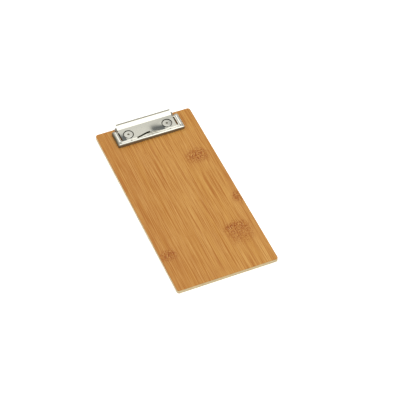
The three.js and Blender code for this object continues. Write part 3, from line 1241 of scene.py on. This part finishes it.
@dataclass
class Fixings:
    """What holds the lever: base plate, pin, rivets and washers."""

    head_round: float = 0.5 * MM
    dimple: float = 1.25 * MM
    dimple_depth: float = 0.5 * MM
    plate_sheet: float = 0.8 * MM
    shank: float = 1.5 * MM
    tail: float = 2.6 * MM
    tail_edge: float = 0.25 * MM
    tail_height: float = 0.5 * MM

    def rivets(self, nickel: Material) -> None:
        """Turn one flat-headed rivet and set it at both places with a geometry tree."""
        left_low, left_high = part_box("rivet_left")
        right_low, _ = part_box("rivet_right")
        plate_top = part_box("face_veneer")[1].z + self.plate_sheet
        head = (left_high.x - left_low.x) / 2
        top = left_high.z
        foot = left_low.z
        tail_top = foot + self.tail_height
        profile: list[Point2] = [(0, foot), (2.3 * MM, foot), (self.tail, foot + self.tail_edge)]
        profile += [(self.tail, tail_top), (self.shank, tail_top), (self.shank, plate_top)]
        profile += [(head - 0.1 * MM, plate_top), (head, plate_top + 0.1 * MM)]
        profile += arc((head - self.head_round, top - self.head_round), self.head_round, 0, 78, 6)
        for radius in np.linspace(head - 1.2 * self.head_round, 0, 32):
            crown = 0.05 * MM * (radius / head) ** 2
            sunk = self.dimple_depth * float(smooth(self.dimple, 0.8 * self.dimple, radius))
            profile.append((float(radius), top - crown - sunk))
        piece = lathe("clip_rivets", profile)
        coords = np.array([vertex.co for vertex in piece.data.vertices])
        # painted shade in the head's central dimple
        dimple_shade = (np.hypot(coords[:, 0], coords[:, 1]) < self.dimple) & (coords[:, 2] > top - 1 * MM)
        paint(piece.data, "painted_shade", dimple_shade.astype(float))
        tree, keys = open_tree("row_of_rivets", Spacing="NodeSocketFloat", First_Place="NodeSocketVector")
        inputs = add_node(tree, "NodeGroupInput").outputs
        offset = add_node(tree, "ShaderNodeCombineXYZ", {"X": inputs["Spacing"]}).outputs["Vector"]
        links = {"Start Location": inputs["First Place"], "Offset": offset}
        line = add_node(tree, "GeometryNodeMeshLine", links, {"Count": 2}).outputs["Mesh"]
        links = {"Points": line, "Instance": inputs["Geometry"]}
        placed = add_node(tree, "GeometryNodeInstanceOnPoints", links).outputs["Instances"]
        close_tree(tree, placed, inputs["Finish"])
        centre = (left_low + left_high) / 2
        values = {keys["Spacing"]: right_low.x - left_low.x, keys["Finish"]: nickel}
        values[keys["First Place"]] = (centre.x, centre.y, 0.0)
        rivets = use_tree(piece, tree, values)
        finish_piece(rivets, Ride.BOARD, Slot.RIVET, nickel, "rivet_left", "rivet_right")

    def build(self, plate_nickel_painted_shade: Material, rivet_nickel: Material, zinc: Material) -> None:
        """Build, dress and place the fixings."""
        plate = softened_copy("base_plate", "clip_base_plate", 0.12 * MM)
        finish_piece(plate, Ride.BOARD, Slot.NICKEL, plate_nickel_painted_shade, "base_plate")
        pin = softened_copy("pivot_pin", "clip_pin", 0.15 * MM, 3)
        finish_piece(pin, Ride.BOARD, Slot.ZINC, zinc, "pivot_pin")
        self.rivets(rivet_nickel)
        for side in ("left", "right"):
            washer = softened_copy(f"rivet_washer_{side}", f"backing_washer_{side}", 0.08 * MM)
            finish_piece(washer, Ride.BOARD, Slot.ZINC, zinc, f"rivet_washer_{side}")


@dataclass
class Spring:
    """The torsion spring wound round the pin, with both legs to the rear."""

    wire: float = 0.35 * MM
    turns: int = 9
    steps: int = 24
    fixed_angle: float = math.radians(10)
    moving_angle: float = math.radians(38)
    fixed_leg: float = 2.9 * MM
    moving_leg: float = 4.0 * MM
    coil: float = 1.6 * MM

    def path(self) -> list[Point3]:
        """The wire's centre line: fixed leg, coil and moving leg."""
        low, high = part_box("torsion_spring")
        pin_low, pin_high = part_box("pivot_pin")
        axis_y, axis_z = (pin_low.y + pin_high.y) / 2, (pin_low.z + pin_high.z) / 2
        radius = self.coil - self.wire
        left, right = low.x + self.wire, high.x - self.wire
        start = self.fixed_angle - math.pi / 2
        sweep = (self.moving_angle + math.pi / 2) - start - 2 * math.pi * (self.turns + 1)
        count = self.turns * self.steps
        points: list[Point3] = []
        for i in range(count + 1):
            share = i / count
            angle = start + sweep * share
            y, z = axis_y + radius * math.cos(angle), axis_z + radius * math.sin(angle)
            points.append((left + (right - left) * share, y, z))

        def leg_end(start: Point3, length: float, angle: float) -> Point3:
            """The far end of a straight leg; returns the point."""
            return (start[0], start[1] + length * math.cos(angle), start[2] + length * math.sin(angle))

        foot = leg_end(points[0], self.fixed_leg, self.fixed_angle)
        tip = leg_end(points[-1], self.moving_leg, self.moving_angle)
        return [foot, *points, tip]

    def build(self, wire_finish: Material) -> None:
        """Wind the spring with a geometry tree and set it across the hinge."""
        curve = bpy.data.curves.new("clip_torsion_spring", "CURVE")
        curve.dimensions = "3D"
        spline = curve.splines.new("POLY")
        path = self.path()
        spline.points.add(len(path) - 1)
        for point, place in zip(spline.points, path):
            point.co = (*place, 1.0)
        coil = link("clip_torsion_spring", curve)
        tree, keys = open_tree("drawn_wire", Wire_Radius="NodeSocketFloat")
        inputs = add_node(tree, "NodeGroupInput").outputs
        links = {"Radius": inputs["Wire Radius"]}
        section = add_node(tree, "GeometryNodeCurvePrimitiveCircle", links, {"Resolution": 10})
        links = {"Curve": inputs["Geometry"], "Profile Curve": section.outputs["Curve"]}
        wire = add_node(tree, "GeometryNodeCurveToMesh", links, {"Fill Caps": True}).outputs["Mesh"]
        close_tree(tree, wire, inputs["Finish"])
        spring = use_tree(coil, tree, {keys["Wire Radius"]: self.wire, keys["Finish"]: wire_finish})
        spring.data.materials.clear()
        spring.data.materials.append(wire_finish)
        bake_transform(spring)
        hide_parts("torsion_spring")
        LOG.info("%s: %d faces across the hinge", spring.name, len(spring.data.polygons))


# ---------------------------------------------------------------- studio


@dataclass
class Studio:
    """A plain pale floor, soft light and the camera."""

    lens: float = 144.0
    distance: float = 15.2015
    azimuth: float = math.radians(-22.871)
    elevation: float = math.radians(47.943)
    aim_right: float = -0.15488
    aim_up: float = 0.02399
    sky_strength: float = 1.1
    tent: Point3 = (1.0, 0.99, 0.95)
    tent_start: float = 0.5
    horizon: Point3 = (0.035, 0.032, 0.028)
    horizon_end: float = 0.16
    gap: Point3 = (0.47, 0.57, 0.66)
    gap_size: float = math.radians(12)
    gap_colour: Point3 = (0.08, 0.095, 0.11)
    gap_edge: float = 0.012
    floor_reach: float = 6.0
    floor_level: float = -0.05 * MM

    def camera(self) -> None:
        """Place the camera. Distances are in board widths."""
        low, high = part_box("face_veneer")
        width = high.x - low.x
        sin_a, cos_a = math.sin(self.azimuth), math.cos(self.azimuth)
        sin_e, cos_e = math.sin(self.elevation), math.cos(self.elevation)
        back = Vector((sin_a * cos_e, -cos_a * cos_e, sin_e))
        right = Vector((cos_a, sin_a, 0))
        up = back.cross(right)
        data = bpy.data.cameras.new("camera")
        data.lens, data.sensor_width = self.lens, 36
        data.clip_start, data.clip_end = 0.05, 50
        camera = link("camera", data)
        camera.location = (back * self.distance - right * self.aim_right - up * self.aim_up) * width
        camera.rotation_mode = "QUATERNION"
        camera.rotation_quaternion = (-back).to_track_quat("-Z", "Y")
        bpy.context.scene.camera = camera

    def floor(self) -> None:
        """Lay a pale floor just under the board."""
        corners = ((-1, -1), (1, -1), (1, 1), (-1, 1))
        verts = [(x * self.floor_reach, y * self.floor_reach, self.floor_level) for x, y in corners]
        floor = mesh_object("studio_floor", verts, [[0, 1, 2, 3]])
        material, _, shader = new_material("matt_white_paper")
        shader.inputs["Base Color"].default_value = linear("#F7F7F6")
        shader.inputs["Roughness"].default_value = 0.9
        shader.inputs["Specular IOR Level"].default_value = 0.1
        shader.inputs["Emission Color"].default_value = (1.0, 1.0, 1.0, 1.0)
        shader.inputs["Emission Strength"].default_value = 0.3
        floor.data.materials.append(material)

    def area(
        self, name: str, place: Point3, size: tuple[float, float], power: float, aimed: bool = False
    ) -> None:
        """Hang one soft light.

        Args:
            name: the light's name.
            place: where it hangs.
            size: its width and height.
            power: its power in watts.
            aimed: whether it is turned towards the board or faces straight down.
        """
        data = bpy.data.lights.new(name, "AREA")
        data.shape, data.size, data.size_y, data.energy = "RECTANGLE", size[0], size[1], power
        light = link(name, data)
        light.location = place
        light.rotation_mode = "QUATERNION"
        if aimed:
            light.rotation_quaternion = (-Vector(place)).to_track_quat("-Z", "Y")

    def sky(self) -> None:
        """Surround the board with a white tent, dark near the floor line and with one dark gap."""
        world = bpy.data.worlds.new("studio_tent")
        bpy.context.scene.world = world
        world.use_nodes = True
        tree = world.node_tree
        heading = add_node(tree, "ShaderNodeTexCoord").outputs["Generated"]
        height = add_node(tree, "ShaderNodeSeparateXYZ", {"Vector": heading}).outputs["Z"]
        tent = add_node(tree, "ShaderNodeValToRGB", {"Fac": height})
        ramp = tent.color_ramp
        ramp.elements[0].position, ramp.elements[0].color = 0.0, (*self.horizon, 1.0)
        ramp.elements[1].position, ramp.elements[1].color = self.tent_start, (*self.tent, 1.0)
        foot = ramp.elements.new(self.horizon_end)
        foot.color = (*self.horizon, 1.0)
        gap = Vector(self.gap).normalized()
        facing = add_node(tree, "ShaderNodeVectorMath", {0: heading}, {1: gap}, operation="DOT_PRODUCT")
        edge = math.cos(self.gap_size)
        inside_gap = add_node(
            tree,
            "ShaderNodeMapRange",
            {"Value": facing.outputs["Value"]},
            {"From Min": edge - self.gap_edge, "From Max": edge + self.gap_edge},
            interpolation_type="SMOOTHSTEP",
        )
        mix = add_node(
            tree,
            "ShaderNodeMix",
            {"Factor": inside_gap.outputs["Result"], 6: tent.outputs["Color"]},
            {7: (*self.gap_colour, 1.0)},
            data_type="RGBA",
        )
        background = tree.nodes["Background"]
        tree.links.new(mix.outputs[2], background.inputs["Color"])
        background.inputs["Strength"].default_value = self.sky_strength

    def build(self) -> None:
        """Set up the camera, the floor, the sky and the lights."""
        self.camera()
        self.floor()
        self.sky()
        self.area("overhead_softbox", (0.33, -0.19, 1.8), (1.85, 2.1), 13)
        self.area("rear_left_strip", (-0.7, 1.55, 1.8), (0.9, 0.6), 1.7)
        self.area("rear_right_strip", (1.75, 1.7, 1.2), (0.7, 0.7), 1.5, aimed=True)
        bpy.context.scene.view_settings.view_transform = "Standard"


def main() -> None:
    """Build every piece in order and report it."""
    logging.basicConfig(level=logging.INFO, format="%(name)s: %(message)s")
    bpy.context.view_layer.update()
    Studio().build()
    # colour of the painted shade on the lever's walls, lip, slot edges, left corner and front band, and in
    # the rivets' dimples
    painted_shade = "#57523F"
    nickel = PlatedMetal("bright_nickel_plate", "#C9C8BF", 0.1, painted_shade=painted_shade).make()
    # the base plate's nickel is painted darker than the lever's as painted shade, since it is seen only
    # under the lever, through the slits and at the ears
    plate_nickel_painted_shade = PlatedMetal("satin_nickel_base_painted_shade", "#7A7468", 0.3).make()
    rivet_nickel = PlatedMetal("bright_nickel_rivet", "#CDCCC4", 0.1, ripple_size=3 * MM, painted_shade=painted_shade).make()
    zinc = PlatedMetal("zinc_plated_steel", "#C2C0BA", 0.28).make()
    wire = PlatedMetal("drawn_spring_wire", "#A9A7A2", 0.3).make()
    Board().build()
    Fixings().build(plate_nickel_painted_shade, rivet_nickel, zinc)
    Lever().build(nickel)
    Spring().build(wire)


if __name__ == "__main__":
    main()
